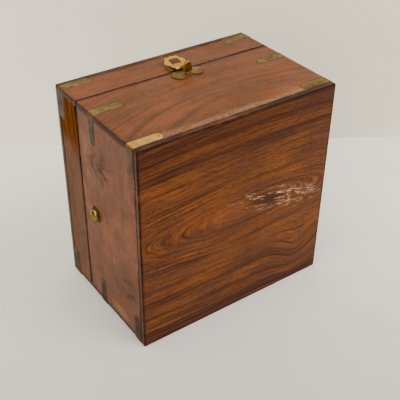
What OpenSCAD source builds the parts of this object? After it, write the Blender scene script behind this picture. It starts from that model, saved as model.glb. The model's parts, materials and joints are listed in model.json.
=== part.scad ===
// Brass-bound hardwood instrument case: a deep base and a shallow lid, hinged along one side,
// closed by a turn-button hasp. It stands on its hinge side, with the hasp on top.
// X runs along the big faces, Y from the base's outer board to the lid's, Z up.
// The origin is at the centre of the footprint, on the surface the case stands on.

/* [Case] */
// Width of the case, along the hinge
case_w = 152; // [120:1:200]
// Height of the case, from the hinge side to the hasp side
case_h = 154; // [120:1:200]
// Depth of the base, with its outer board
base_d = 72.4; // [62:0.2:100]
// Depth of the lid, with its outer board
lid_d = 27.6; // [22:0.2:40]
// Open joint between the two rims
rim_gap = 0.4; // [0.3:0.05:0.6]
// Radius of the long outer corners
corner_r = 2.5; // [1:0.1:3.5]

/* [Boards] */
// Thickness of the four walls
wall_t = 8; // [7:0.5:10]
// Thickness of the lap left at each end of the hasp-side and hinge-side walls
lap_t = 4; // [3.6:0.1:5]
// Thickness of the base's outer board
base_board_t = 3.6; // [3:0.1:4.4]
// Thickness of the lid's outer board
lid_board_t = 3.4; // [3:0.1:3.6]

/* [Corner straps] */
// Width of a strap
strap_w = 6.8; // [5:0.1:6.8]
// Thickness of a strap, let in flush
strap_t = 1; // [0.6:0.1:1.4]
// Length of a strap's leg on the hasp side and on the hinge side
strap_leg = 23; // [16:0.5:28]
// Length of a strap's leg on the left and right walls
strap_side_leg = 22; // [16:0.5:28]
// Distance of the outer base strap from the base's outer face, to its middle
strap_outer = 8; // [8:0.1:12]
// Distance of the inner base strap from the base's outer face, to its middle
strap_inner = 53.6; // [40:0.1:60]
// Distance of the lid strap from the lid's outer face, to its middle
strap_lid = 7.2; // [7.2:0.1:12]
// Open line left around a strap in its recess
strap_line = 0.2; // [0.1:0.05:0.3]
// Radius of the pins that hold the straps
strap_pin_r = 0.55; // [0.4:0.05:0.8]
// Length of those pins
strap_pin_l = 6; // [4:0.5:7]

/* [Pivot studs] */
// Distance of the studs from the base's outer face
stud_y = 56.2; // [50:0.1:60]
// Radius of the stud's shank through the wall
stud_r = 3; // [2.5:0.1:4]
// Radius of the domed head
head_r = 4.2; // [3.8:0.1:5]
// Height of the domed head
head_h = 2.6; // [2:0.1:3.2]
// Radius of the rosette under the head
rosette_r = 6.3; // [5.5:0.1:8]
// Thickness of the rosette
rosette_t = 0.9; // [0.6:0.1:1.2]
// Width of the inner nut across its flats
nut_af = 10; // [9:0.5:12]
// Thickness of the inner nut
nut_t = 3; // [2:0.5:4]
// Radius of the pivot pin that a gimbal ring hangs on
gimbal_r = 2; // [1.5:0.1:2.4]
// Length of that pin inside the nut
gimbal_l = 6; // [4:0.5:8]

/* [Hinges] */
// Radius of a hinge barrel, let in flush with the hinge side
barrel_r = 2.1; // [1.8:0.1:2.4]
// Length of a hinge
hinge_l = 26; // [20:1:32]
// Distance of each hinge from the middle of the case
hinge_x = 42; // [30:1:52]
// Thickness of a hinge leaf
leaf_t = 0.8; // [0.6:0.1:1]

/* [Hasp] */
// Distance of the hasp from the middle of the case
hasp_x = 3.4; // [-10:0.1:10]
// Thickness of the hasp's plates
plate_t = 0.8; // [0.6:0.1:1]
// Angle of the thrown-back flap above the lid
flap_angle = 11; // [9:1:60]
// Radius of the flap's barrel
flap_barrel_r = 1.3; // [1.2:0.05:1.5]
// Distance of the turn button from the rim of the base
button_back = 7; // [5.6:0.1:7.4]
// Height of the turn button's wing
wing_h = 8; // [6:0.2:8]
// Width of the wing
wing_w = 6.4; // [5:0.2:6.6]
// Thickness of the wing
wing_t = 1.4; // [1:0.1:1.5]

/* [Hidden] */
$fn = 48;

// Depths, from the outer face of the base's board to the outer face of the lid's board
case_d = base_d + rim_gap + lid_d;
front_y = -case_d / 2;
base_board_y = front_y + base_board_t;
base_rim_y = front_y + base_d;
lid_rim_y = base_rim_y + rim_gap;
back_y = case_d / 2;
lid_board_y = back_y - lid_board_t;
axis_y = base_rim_y + rim_gap / 2;
half_w = case_w / 2;
past = 1;

// Straps: two depths on the base, one on the lid
base_strap_ys = [front_y + strap_outer, front_y + strap_inner];
lid_strap_y = back_y - strap_lid;
strap_reach = corner_r + 0.5;
pin_back = 3;
pin_hole_r = strap_pin_r + 0.03;

// Studs, on the middle of the left and right walls
stud_pos_y = front_y + stud_y;
stud_z = case_h / 2;
dome_r = (head_r * head_r + head_h * head_h) / (2 * head_h);
bore_play = 0.05;

// Hinges: the barrel's lowest point stays clear of the surface the case stands on
barrel_clear = 0.3;
axis_z = barrel_r + barrel_clear;
leaf_z = wall_t - 0.4;
knuckle_play = 0.15;
mid_knuckle_l = hinge_l / 3;
hinge_pin_r = 0.9;
screw_r = 0.8;
screw_head_r = 1.5;
screw_l = 7;
screw_z = 6;
screw_xs = [-hinge_l / 3, hinge_l / 3];

// Hasp: the flap's axis is above the joint between the rims
flap_axis_z = case_h + plate_t + 0.3 + plate_t / 2;
hasp_pin_r = 0.6;
leaf_knuckle_l = 3.4;
flap_knuckle_l = 2.8;
leaf_w = 17;
leaf_l = 8;
leaf_corner_r = 2.5;
leaf_nail_in = 2.6;
lobe_r = 5.2;
lobe_x = 6.7;
latch_nail_x = 9.8;
nail_r = 0.7;
nail_l = 6;
nail_head_r = 1.25;
nail_head_h = 0.5;
button_y = base_rim_y - button_back;
neck_r = 1.2;
rivet_l = 5;
foot_z = case_h + plate_t + 0.2;
shoulder = 1.3;
wing_tip_r = 2.2;
wing_bend_r = 0.8;

// The flap's slot swings down over the wing: its near side clears the foot of the wing, turned
// either way, and its far side clears the wing's top corner on the circle that it runs on
slot_play = 0.35;
button_reach = button_back + rim_gap / 2;
wing_top = foot_z + wing_h - flap_axis_z;
slot_w = wing_w + 3 * slot_play;
slot_near = button_reach - neck_r - 0.8;
slot_far = sqrt(pow(button_reach + wing_t / 2 + slot_play, 2) + pow(wing_top, 2)) + 0.1;
flap_l = slot_far + 2.7;

WOOD = [0.45, 0.21, 0.13];
WOOD_TOP = [0.55, 0.30, 0.24];
BRASS = [0.62, 0.50, 0.27];
BRIGHT = [0.80, 0.62, 0.25];

// ---- shared shapes ----

// Front view of the case, its sides moved in by inset
module outline(inset) {
    r = corner_r - inset;
    w = case_w - 2 * inset;
    h = case_h - 2 * inset;
    translate([0, case_h / 2]) {
        square([w - 2 * r, h], center = true);
        square([w, h - 2 * r], center = true);
        for (sx = [-1, 1], sz = [-1, 1])
            translate([sx * (w / 2 - r), sz * (h / 2 - r)]) circle(r = r);
    }
}

// A front-view shape carried along Y from y0 to y1
module along_y(y0, y1) {
    translate([0, y1, 0]) rotate([90, 0, 0]) linear_extrude(y1 - y0) children();
}

// Puts what is drawn for the top left corner at another corner
module at_corner(side, level) {
    translate([0, 0, case_h / 2])
        mirror([side == "right" ? 1 : 0, 0, 0])
            mirror([0, 0, level == "bottom" ? 1 : 0])
                translate([0, 0, -case_h / 2]) children();
}

// Puts what is drawn for the left half at the right half
module at_side(side) {
    mirror([side == "right" ? 1 : 0, 0, 0]) children();
}

// Flat strip with a round end, along +X
module tongue(length, width) {
    translate([0, -width / 2]) square([length - width / 2, width]);
    translate([length - width / 2, 0]) circle(d = width);
}

// A strap around the top left corner at depth y; margin widens it into its recess
module corner_strap(y, margin = 0) {
    reach = past + margin;
    intersection() {
        along_y(y - strap_w, y + strap_w) difference() {
            if (margin > 0)
                translate([-half_w - past, -past]) square([case_w + 2 * past, case_h + 2 * past]);
            else
                outline(0);
            outline(strap_t);
        }
        union() {
            translate([-half_w - past, y, case_h - strap_reach])
                linear_extrude(strap_reach + past) tongue(strap_leg + reach, strap_w + 2 * margin);
            translate([-half_w - past, y, case_h + past]) rotate([0, 90, 0])
                linear_extrude(strap_reach + past)
                    tongue(strap_side_leg + reach, strap_w + 2 * margin);
        }
    }
}

// The two pins of the strap at the top left corner, or their holes
module strap_pins(y, r, lift = 0) {
    translate([-half_w + strap_leg - pin_back, y, case_h - strap_pin_l])
        cylinder(r = r, h = strap_pin_l + lift, $fn = 24);
    translate([-half_w - lift, y, case_h - strap_side_leg + pin_back]) rotate([0, 90, 0])
        cylinder(r = r, h = strap_pin_l + lift, $fn = 24);
}

module drilled_strap(y) {
    difference() {
        corner_strap(y);
        strap_pins(y, pin_hole_r, past);
    }
}

// Recesses and pin holes for the straps at depths ys, on both sides of one level
module level_recesses(ys, level) {
    for (y = ys, side = ["left", "right"]) at_corner(side, level) {
        corner_strap(y, strap_line);
        strap_pins(y, pin_hole_r, past);
    }
}

// Recesses and pin holes for the straps at depths ys, at both ends of one side wall
module side_recesses(ys, side) {
    for (y = ys, level = ["top", "bottom"]) at_corner(side, level) {
        corner_strap(y, strap_line);
        strap_pins(y, pin_hole_r, past);
    }
}

// Hasp-side wall between two depths: full thickness between the side walls, lapped over them
module lapped_wall(y0, y1) {
    intersection() {
        along_y(y0, y1) outline(0);
        union() {
            translate([-half_w, y0, case_h - lap_t]) cube([case_w, y1 - y0, lap_t]);
            translate([-half_w + wall_t, y0, case_h - wall_t])
                cube([case_w - 2 * wall_t, y1 - y0, wall_t]);
        }
    }
}

// Left wall between two depths, standing between the laps
module side_wall(y0, y1) {
    translate([-half_w, y0, lap_t]) cube([wall_t, y1 - y0, case_h - 2 * lap_t]);
}

// ---- hinges ----

// A barrel section of the hinges' axis
module axis_rod(x0, length, r) {
    translate([x0, axis_y, axis_z]) rotate([0, 90, 0]) cylinder(r = r, h = length);
}

// Room for both barrels, and the bevel that lets the rims turn about the barrel
module hinge_relief() {
    for (sx = [-1, 1]) axis_rod(sx * hinge_x - hinge_l / 2 - 0.3, hinge_l + 0.6, barrel_r + 0.3);
    translate([-half_w - past, axis_y, 0]) rotate([90, 0, 90]) linear_extrude(case_w + 2 * past)
        polygon([[-axis_z - past - rim_gap / 2, -past], [-rim_gap / 2, axis_z],
                 [rim_gap / 2, axis_z], [axis_z + past + rim_gap / 2, -past]]);
}

// Mirrors a shape drawn on the base's side of the joint to the lid's side
module to_lid() {
    translate([0, 2 * axis_y, 0]) mirror([0, 1, 0]) children();
}

// Recess of the leaves and the screw holes in the base's rim
module leaf_recess() {
    for (sx = [-1, 1]) translate([sx * hinge_x, 0, 0]) {
        translate([-hinge_l / 2, base_rim_y - leaf_t, axis_z])
            cube([hinge_l, leaf_t + past, leaf_z - axis_z]);
        for (x = screw_xs) translate([x, base_rim_y, screw_z]) rotate([90, 0, 0])
            cylinder(r = screw_r + 0.03, h = screw_l + 0.1, $fn = 24);
    }
}

// One leaf in its place on the base's rim: outer knuckles if outer, the middle one if not
module hinge_leaf(outer) {
    half = hinge_l / 2;
    mid = mid_knuckle_l / 2;
    difference() {
        union() {
            translate([-half, base_rim_y - leaf_t, axis_z]) cube([hinge_l, leaf_t, leaf_z - axis_z]);
            if (outer) {
                axis_rod(-half, half - mid - knuckle_play, barrel_r);
                axis_rod(mid + knuckle_play, half - mid - knuckle_play, barrel_r);
            } else {
                axis_rod(-mid + knuckle_play, mid_knuckle_l - 2 * knuckle_play, barrel_r);
            }
        }
        axis_rod(-half - past, hinge_l + 2 * past, hinge_pin_r + bore_play);
        // the other leaf's knuckles turn in these notches
        if (outer) {
            axis_rod(-mid - knuckle_play, mid_knuckle_l + 2 * knuckle_play, barrel_r + 0.3);
        } else {
            axis_rod(-half - past, half - mid + past + knuckle_play, barrel_r + 0.3);
            axis_rod(mid - knuckle_play, half - mid + past + knuckle_play, barrel_r + 0.3);
        }
        for (x = screw_xs) translate([x, base_rim_y + 0.001, screw_z]) rotate([90, 0, 0])
            cylinder(r1 = screw_head_r + 0.03, r2 = screw_r + 0.03, h = leaf_t + 0.002, $fn = 24);
    }
}

// Countersunk screws of one leaf, driven into the base's rim
module leaf_screws() {
    for (x = screw_xs) translate([x, base_rim_y, screw_z]) rotate([90, 0, 0]) difference() {
        union() {
            cylinder(r1 = screw_head_r, r2 = screw_r, h = leaf_t, $fn = 24);
            cylinder(r = screw_r, h = screw_l, $fn = 24);
        }
        translate([-screw_head_r, -0.2, -past]) cube([2 * screw_head_r, 0.4, past + 0.4]);
    }
}

module hinge_pin() {
    axis_rod(-hinge_l / 2, hinge_l, hinge_pin_r);
}

// ---- boards of the base ----

module base_panel() {
    color(WOOD) along_y(front_y, base_board_y) outline(0);
}

module base_top_wall() {
    color(WOOD_TOP) difference() {
        lapped_wall(base_board_y, base_rim_y);
        level_recesses(base_strap_ys, "top");
        latch_holes();
    }
}

module base_bottom_wall() {
    color(WOOD) difference() {
        at_corner("left", "bottom") lapped_wall(base_board_y, base_rim_y);
        level_recesses(base_strap_ys, "bottom");
        hinge_relief();
        leaf_recess();
    }
}

module base_side_wall(side) {
    color(WOOD) difference() {
        at_side(side) side_wall(base_board_y, base_rim_y);
        side_recesses(base_strap_ys, side);
        at_side(side) stud_axis() cylinder(r = stud_r + bore_play, h = wall_t + 2 * past, center = true);
    }
}

// ---- boards of the lid ----

module lid_panel() {
    color(WOOD) along_y(lid_board_y, back_y) outline(0);
}

module lid_top_wall() {
    color(WOOD_TOP) difference() {
        lapped_wall(lid_rim_y, lid_board_y);
        level_recesses([lid_strap_y], "top");
        hasp_holes();
    }
}

module lid_bottom_wall() {
    color(WOOD) difference() {
        at_corner("left", "bottom") lapped_wall(lid_rim_y, lid_board_y);
        level_recesses([lid_strap_y], "bottom");
        hinge_relief();
        to_lid() leaf_recess();
    }
}

module lid_side_wall(side) {
    color(WOOD) difference() {
        at_side(side) side_wall(lid_rim_y, lid_board_y);
        side_recesses([lid_strap_y], side);
    }
}

// ---- straps and their pins ----

module base_strap(side, level, place) {
    color(BRASS) at_corner(side, level) drilled_strap(base_strap_ys[place]);
}

module lid_strap(side, level) {
    color(BRASS) at_corner(side, level) drilled_strap(lid_strap_y);
}

module base_strap_pins() {
    color(BRASS) for (y = base_strap_ys, side = ["left", "right"], level = ["top", "bottom"])
        at_corner(side, level) strap_pins(y, strap_pin_r);
}

module lid_strap_pins() {
    color(BRASS) for (side = ["left", "right"], level = ["top", "bottom"])
        at_corner(side, level) strap_pins(lid_strap_y, strap_pin_r);
}

// ---- pivot studs of the gimbal ----

// Frame with +Z pointing out of the left wall, from the middle of its thickness
module stud_axis() {
    translate([-half_w + wall_t / 2, stud_pos_y, stud_z]) rotate([0, -90, 0]) children();
}

module pivot_stud(side) {
    out = wall_t / 2 + rosette_t;
    inner = wall_t / 2 + nut_t;
    color(BRIGHT) at_side(side) stud_axis() {
        translate([0, 0, -inner]) cylinder(r = stud_r, h = inner + out);
        translate([0, 0, -inner - gimbal_l]) cylinder(r = gimbal_r, h = gimbal_l);
        translate([0, 0, out]) intersection() {
            translate([0, 0, head_h - dome_r]) sphere(r = dome_r);
            cylinder(r = head_r + past, h = head_h + past);
        }
    }
}

module rosette(side) {
    color(BRASS) at_side(side) stud_axis() translate([0, 0, wall_t / 2]) difference() {
        cylinder(r = rosette_r, h = rosette_t);
        translate([0, 0, -past]) cylinder(r = stud_r + bore_play, h = rosette_t + 2 * past);
    }
}

module pivot_nut(side) {
    color(BRASS) at_side(side) stud_axis() translate([0, 0, -wall_t / 2 - nut_t]) difference() {
        cylinder(d = nut_af / cos(30), h = nut_t, $fn = 6);
        translate([0, 0, -past]) cylinder(r = stud_r + bore_play, h = nut_t + 2 * past);
    }
}

// ---- hasp ----

// Nail through one of the hasp's plates at x, y, with its round head, or the nail's hole
module nail(x, y, r, head) {
    translate([x, y, case_h + plate_t - nail_l]) cylinder(r = r, h = nail_l + (head ? 0 : past), $fn = 24);
    if (head) translate([x, y, case_h + plate_t]) intersection() {
        cap_r = (nail_head_r * nail_head_r + nail_head_h * nail_head_h) / (2 * nail_head_h);
        translate([0, 0, nail_head_h - cap_r]) sphere(r = cap_r);
        cylinder(r = nail_head_r + past, h = nail_head_h + past);
    }
}

module latch_nail_places(r, head) {
    for (sx = [-1, 1]) nail(hasp_x + sx * latch_nail_x, button_y, r, head);
}

module leaf_nail_places(r, head) {
    for (sx = [-1, 1])
        nail(hasp_x + sx * (leaf_w / 2 - leaf_nail_in), lid_rim_y + leaf_l - leaf_nail_in, r, head);
}

// Holes of the base's top wall under the latch plate
module latch_holes() {
    latch_nail_places(nail_r + 0.03, false);
    translate([hasp_x, button_y, case_h - rivet_l - 0.3]) cylinder(r = neck_r + 0.3, h = rivet_l + past);
}

module hasp_holes() {
    leaf_nail_places(nail_r + 0.03, false);
}

// Plate with a lobe at each end, under the turn button
module latch_plate() {
    color(BRASS) translate([hasp_x, button_y, case_h]) difference() {
        linear_extrude(plate_t) {
            for (sx = [-1, 1]) translate([sx * lobe_x, 0]) circle(r = lobe_r);
            square([2 * lobe_x, 1.3 * lobe_r], center = true);
        }
        translate([0, 0, -past]) cylinder(r = neck_r + bore_play, h = plate_t + 2 * past);
        for (sx = [-1, 1]) translate([sx * latch_nail_x, 0, -past])
            cylinder(r = nail_r + 0.03, h = plate_t + 2 * past, $fn = 24);
    }
}

module latch_plate_nails() {
    color(BRASS) latch_nail_places(nail_r, true);
}

// Wing that turns on a rivet through the latch plate: its shoulders pass over the flap
module turn_button() {
    color(BRIGHT) translate([hasp_x, button_y, 0]) {
        translate([0, 0, case_h - rivet_l]) cylinder(r = neck_r, h = foot_z - case_h + rivet_l + 0.6);
        translate([0, wing_t / 2, foot_z]) rotate([90, 0, 0]) linear_extrude(wing_t) {
            hull() {
                translate([0, wing_h - wing_tip_r]) circle(r = wing_tip_r);
                for (sx = [-1, 1])
                    translate([sx * (wing_w / 2 - wing_bend_r), shoulder + wing_bend_r])
                        circle(r = wing_bend_r);
            }
            translate([-neck_r, 0]) square([2 * neck_r, shoulder + 1]);
        }
    }
}

// Rod about the flap's axis, centred at x
module flap_rod(x, length, r) {
    translate([x - length / 2, axis_y, flap_axis_z]) rotate([0, 90, 0]) cylinder(r = r, h = length);
}

// Leaf nailed on the lid, with the middle knuckle
module hasp_leaf() {
    color(BRASS) difference() {
        union() {
            translate([hasp_x, lid_rim_y, case_h]) linear_extrude(plate_t) {
                translate([-leaf_w / 2, 0.2]) square([leaf_w, leaf_l - leaf_corner_r - 0.2]);
                translate([leaf_corner_r - leaf_w / 2, 0.2])
                    square([leaf_w - 2 * leaf_corner_r, leaf_l - 0.2]);
                for (sx = [-1, 1])
                    translate([sx * (leaf_w / 2 - leaf_corner_r), leaf_l - leaf_corner_r])
                        circle(r = leaf_corner_r);
            }
            flap_rod(hasp_x, leaf_knuckle_l, flap_barrel_r);
            translate([hasp_x - leaf_knuckle_l / 2, axis_y, case_h])
                cube([leaf_knuckle_l, 1 + rim_gap / 2, plate_t]);
        }
        flap_rod(hasp_x, leaf_knuckle_l + 2 * past, hasp_pin_r + bore_play);
        // the flap's knuckles turn in these notches
        for (sx = [-1, 1])
            flap_rod(hasp_x + sx * (leaf_w + leaf_knuckle_l) / 2, leaf_w, flap_barrel_r + 0.25);
        leaf_nail_places(nail_r + 0.03, false);
    }
}

module hasp_leaf_nails() {
    color(BRASS) leaf_nail_places(nail_r, true);
}

module hasp_pin() {
    color(BRASS) flap_rod(hasp_x, leaf_knuckle_l + 2 * (flap_knuckle_l + knuckle_play), hasp_pin_r);
}

// Scalloped flap with its slot, drawn lying over the lid and turned up to its rest angle
module hasp_flap() {
    knuckle_x = leaf_knuckle_l / 2 + knuckle_play + flap_knuckle_l / 2;
    flap_neck = leaf_knuckle_l / 2 + knuckle_play + flap_knuckle_l;
    color(BRIGHT) translate([0, axis_y, flap_axis_z]) rotate([flap_angle, 0, 0])
        translate([0, -axis_y, -flap_axis_z]) difference() {
            union() {
                translate([hasp_x, axis_y, flap_axis_z - plate_t / 2]) linear_extrude(plate_t) {
                    translate([-flap_neck, 0]) square([2 * flap_neck, flap_l - 2]);
                    for (sx = [-1, 1]) {
                        translate([sx * 4, 3.9]) circle(r = 1.9);
                        translate([sx * 5, 7.9]) circle(r = 2.9);
                        translate([sx * 3.4, flap_l - 2.7]) circle(r = 2.3);
                    }
                    translate([0, flap_l - 2.6]) circle(r = 2.6);
                }
                for (sx = [-1, 1]) flap_rod(hasp_x + sx * knuckle_x, flap_knuckle_l, flap_barrel_r);
            }
            flap_rod(hasp_x, 4 * leaf_w, hasp_pin_r + bore_play);
            flap_rod(hasp_x, leaf_knuckle_l + 2 * knuckle_play, flap_barrel_r + 0.3);
            translate([hasp_x - slot_w / 2, axis_y + slot_near, flap_axis_z - past])
                cube([slot_w, slot_far - slot_near, 2 * past]);
        }
}

base_panel();
base_top_wall();
base_bottom_wall();
base_side_wall("left");  // base_left_wall
base_side_wall("right");  // base_right_wall
base_strap("left", "top", 0);  // base_strap_top_left_outer
base_strap("left", "top", 1);  // base_strap_top_left_inner
base_strap("right", "top", 0);  // base_strap_top_right_outer
base_strap("right", "top", 1);  // base_strap_top_right_inner
base_strap("left", "bottom", 0);  // base_strap_bottom_left_outer
base_strap("left", "bottom", 1);  // base_strap_bottom_left_inner
base_strap("right", "bottom", 0);  // base_strap_bottom_right_outer
base_strap("right", "bottom", 1);  // base_strap_bottom_right_inner
base_strap_pins();
pivot_stud("left");  // left_pivot_stud
pivot_stud("right");  // right_pivot_stud
rosette("left");  // left_rosette
rosette("right");  // right_rosette
pivot_nut("left");  // left_pivot_nut
pivot_nut("right");  // right_pivot_nut
lid_panel();
lid_top_wall();
lid_bottom_wall();
lid_side_wall("left");  // lid_left_wall
lid_side_wall("right");  // lid_right_wall
lid_strap("left", "top");  // lid_strap_top_left
lid_strap("right", "top");  // lid_strap_top_right
lid_strap("left", "bottom");  // lid_strap_bottom_left
lid_strap("right", "bottom");  // lid_strap_bottom_right
lid_strap_pins();
color(BRASS) translate([-hinge_x, 0, 0]) hinge_leaf(true);  // left_hinge_base_leaf
color(BRASS) translate([hinge_x, 0, 0]) hinge_leaf(true);  // right_hinge_base_leaf
color(BRASS) translate([-hinge_x, 0, 0]) to_lid() hinge_leaf(false);  // left_hinge_lid_leaf
color(BRASS) translate([hinge_x, 0, 0]) to_lid() hinge_leaf(false);  // right_hinge_lid_leaf
color(BRASS) translate([-hinge_x, 0, 0]) hinge_pin();  // left_hinge_pin
color(BRASS) translate([hinge_x, 0, 0]) hinge_pin();  // right_hinge_pin
color(BRASS) for (sx = [-1, 1]) translate([sx * hinge_x, 0, 0]) leaf_screws();  // base_hinge_screws
color(BRASS) for (sx = [-1, 1]) translate([sx * hinge_x, 0, 0]) to_lid() leaf_screws();  // lid_hinge_screws
latch_plate();
latch_plate_nails();
turn_button();
hasp_leaf();
hasp_leaf_nails();
hasp_pin();
hasp_flap();
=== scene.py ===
"""Brass-bound rosewood instrument case: boards, straps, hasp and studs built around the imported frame."""
import json
import math

import bmesh
import bpy
import numpy as np
from mathutils import Matrix, Vector


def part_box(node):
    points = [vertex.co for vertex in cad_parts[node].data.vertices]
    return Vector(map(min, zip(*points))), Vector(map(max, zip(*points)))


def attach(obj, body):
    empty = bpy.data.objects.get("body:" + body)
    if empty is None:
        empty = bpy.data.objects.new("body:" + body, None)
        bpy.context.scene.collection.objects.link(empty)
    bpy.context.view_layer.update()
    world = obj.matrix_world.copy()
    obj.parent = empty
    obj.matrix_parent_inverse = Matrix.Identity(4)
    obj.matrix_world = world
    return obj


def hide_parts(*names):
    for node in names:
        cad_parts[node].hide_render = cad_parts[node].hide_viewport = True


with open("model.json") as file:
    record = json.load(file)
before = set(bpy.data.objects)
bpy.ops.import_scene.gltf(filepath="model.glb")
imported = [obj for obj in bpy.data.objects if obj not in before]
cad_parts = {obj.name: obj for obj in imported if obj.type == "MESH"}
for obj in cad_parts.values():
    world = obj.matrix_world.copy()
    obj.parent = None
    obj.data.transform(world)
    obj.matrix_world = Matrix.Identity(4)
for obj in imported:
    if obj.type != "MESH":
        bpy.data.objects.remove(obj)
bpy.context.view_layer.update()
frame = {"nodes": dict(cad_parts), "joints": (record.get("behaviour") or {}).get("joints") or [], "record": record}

MM = 0.001


# ---------------------------------------------------------------- sizes, in mm, from the frame

def corners(node):
    """Lowest and highest corner of a CAD node, in mm."""
    low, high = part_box(node)
    return np.array(low) / MM, np.array(high) / MM


def joint_axis(name):
    """Point on a joint's axis, in mm."""
    return np.array(next(j["pos_m"] for j in frame["joints"] if j["name"] == name)) / MM


PANEL_LOW, PANEL_HIGH = corners("base_panel")
LID_LOW, LID_HIGH = corners("lid_panel")
TOP_HIGH = corners("base_top_wall")[1]
LEFT_LOW, LEFT_HIGH = corners("base_left_wall")
LID_WALL_LOW = corners("lid_left_wall")[0]
HALF_W = PANEL_HIGH[0]
CASE_H = PANEL_HIGH[2]
FRONT_Y = PANEL_LOW[1]
BACK_Y = LID_HIGH[1]
BASE_RIM_Y = TOP_HIGH[1]
LID_RIM_Y = LID_WALL_LOW[1]
WALL_T = LEFT_HIGH[0] - LEFT_LOW[0]
LAP_T = LEFT_LOW[2]
CORNER_R = 1.3


# ---------------------------------------------------------------- mesh makers

def wobble(points, size, seed):
    """Smooth unevenness from -1 to 1 at points (..., 3) in mm: the mean of six sine waves that run
    in random directions, with wavelengths between 0.6 and 1.8 times size."""
    rng = np.random.default_rng(seed)
    way = rng.normal(size=(6, 3))
    way /= np.linalg.norm(way, axis=1)[:, None]
    way *= 2 * np.pi / (size * rng.uniform(0.6, 1.8, 6))[:, None]
    return np.sin(points @ way.T + rng.uniform(0, 2 * np.pi, 6)).mean(-1)


def closed(rings, loop=False):
    """Points and faces of a closed solid from a grid of rings (R, P, 3) in mm. Each ring is a closed
    line, neighbours are joined by quads, and one face closes each end unless loop joins the ends."""
    count, around = rings.shape[:2]
    ids = np.arange(count * around).reshape(count, around)
    turned = np.roll(ids, -1, axis=1)
    ahead, ahead_turned = np.roll(ids, -1, axis=0), np.roll(turned, -1, axis=0)
    last = count if loop else count - 1
    quads = np.stack([ids, turned, ahead_turned, ahead], -1)[:last].reshape(-1, 4).tolist()
    ends = [] if loop else [ids[0][::-1].tolist(), ids[-1].tolist()]
    return rings.reshape(-1, 3), quads + ends


def piece(name, solids, material, body, stands_for=(), edge=None, sharp=40):
    """One object from a list of closed solids, on its body, in place of the CAD nodes it stands for.
    Doubled points at poles are merged and the faces are turned outwards."""
    points, faces, start = [], [], 0
    for solid_points, solid_faces in solids:
        points.append(solid_points)
        faces += [[i + start for i in face] for face in solid_faces]
        start += len(solid_points)
    mesh = bpy.data.meshes.new(name)
    mesh.from_pydata(np.concatenate(points) * MM, [], faces)
    if edge is not None:
        layer = mesh.attributes.new("edge", "FLOAT", "POINT")
        layer.data.foreach_set("value", np.ascontiguousarray(edge, dtype=np.float32).ravel())
    work = bmesh.new()
    work.from_mesh(mesh)
    bmesh.ops.remove_doubles(work, verts=work.verts, dist=1e-7)
    bmesh.ops.recalc_face_normals(work, faces=work.faces)
    work.to_mesh(mesh)
    work.free()
    mesh.shade_smooth()
    mesh.set_sharp_from_angle(angle=math.radians(sharp))
    mesh.materials.append(material)
    made = bpy.data.objects.new(name, mesh)
    bpy.context.scene.collection.objects.link(made)
    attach(made, body)
    if stands_for:
        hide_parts(*stands_for)
    return made


def line(start, end, count):
    """count points between start and end, both left out."""
    return np.linspace(start, end, count + 2)[1:-1]


def arc(centre, radius, start, end, count):
    """Points of an arc, angles in degrees, both ends included."""
    turn = np.radians(np.linspace(start, end, count))
    return np.array(centre) + radius * np.stack([np.cos(turn), np.sin(turn)], -1)


def offset(outline, inset):
    """A closed anticlockwise outline (P, 2) moved inwards: every point goes along the mitre of its
    two edges, so that both edges move by inset."""
    along = np.roll(outline, -1, axis=0) - outline
    along /= np.maximum(np.linalg.norm(along, axis=1), 1e-9)[:, None]
    after = np.stack([along[:, 1], -along[:, 0]], -1)
    before = np.roll(after, 1, axis=0)
    mitre = (after + before) / np.maximum(1 + (after * before).sum(1), 0.3)[:, None]
    return outline - mitre * inset


def rounded_box(low, high, radius, step):
    """Gives a function of inset: the outline of a rectangle with round corners, moved inwards."""
    size = np.array(high) - np.array(low)
    counts = [max(1, round(length / step)) for length in (size[1], size[0], size[1], size[0])]

    def at(inset):
        (x0, z0), (x1, z1) = np.array(low) + inset, np.array(high) - inset
        r = max(radius - inset, 0.02)
        bends = [((x1 - r, z0 + r), -90), ((x1 - r, z1 - r), 0),
                 ((x0 + r, z1 - r), 90), ((x0 + r, z0 + r), 180)]
        arcs = [arc(centre, r, start, start + 90, 7) for centre, start in bends]
        sides = [line(arcs[i][-1], arcs[(i + 1) % 4][0], counts[i]) for i in range(4)]
        return np.concatenate([part for pair in zip(arcs, sides) for part in pair])
    return at


def lapped_box():
    """Gives a function of inset: the front outline of the hasp-side wall, with its round outer
    corners and a lap over each side wall, moved inwards."""
    r, top = CORNER_R, CASE_H
    inner_x, lap_z, inner_z = HALF_W - WALL_T, CASE_H - LAP_T, CASE_H - WALL_T
    right = arc((HALF_W - r, top - r), r, 0, 90, 8)
    left = arc((-HALF_W + r, top - r), r, 90, 180, 8)
    bends = [(-inner_x, inner_z), (inner_x, inner_z), (inner_x, lap_z), (HALF_W, lap_z)]
    bends = [np.array([bend]) for bend in bends]
    ends = [np.array([(-HALF_W, lap_z)]), np.array([(-inner_x, lap_z)])]
    outline = np.concatenate([
        bends[0], line(bends[0][0], bends[1][0], 50), bends[1], bends[2], bends[3], right,
        line(right[-1], left[0], 56), left, ends[0], ends[1]])
    return lambda inset: offset(outline, inset)


BOARD_SWAY = 0.06
RAGGED_DEPTH = 4


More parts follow.
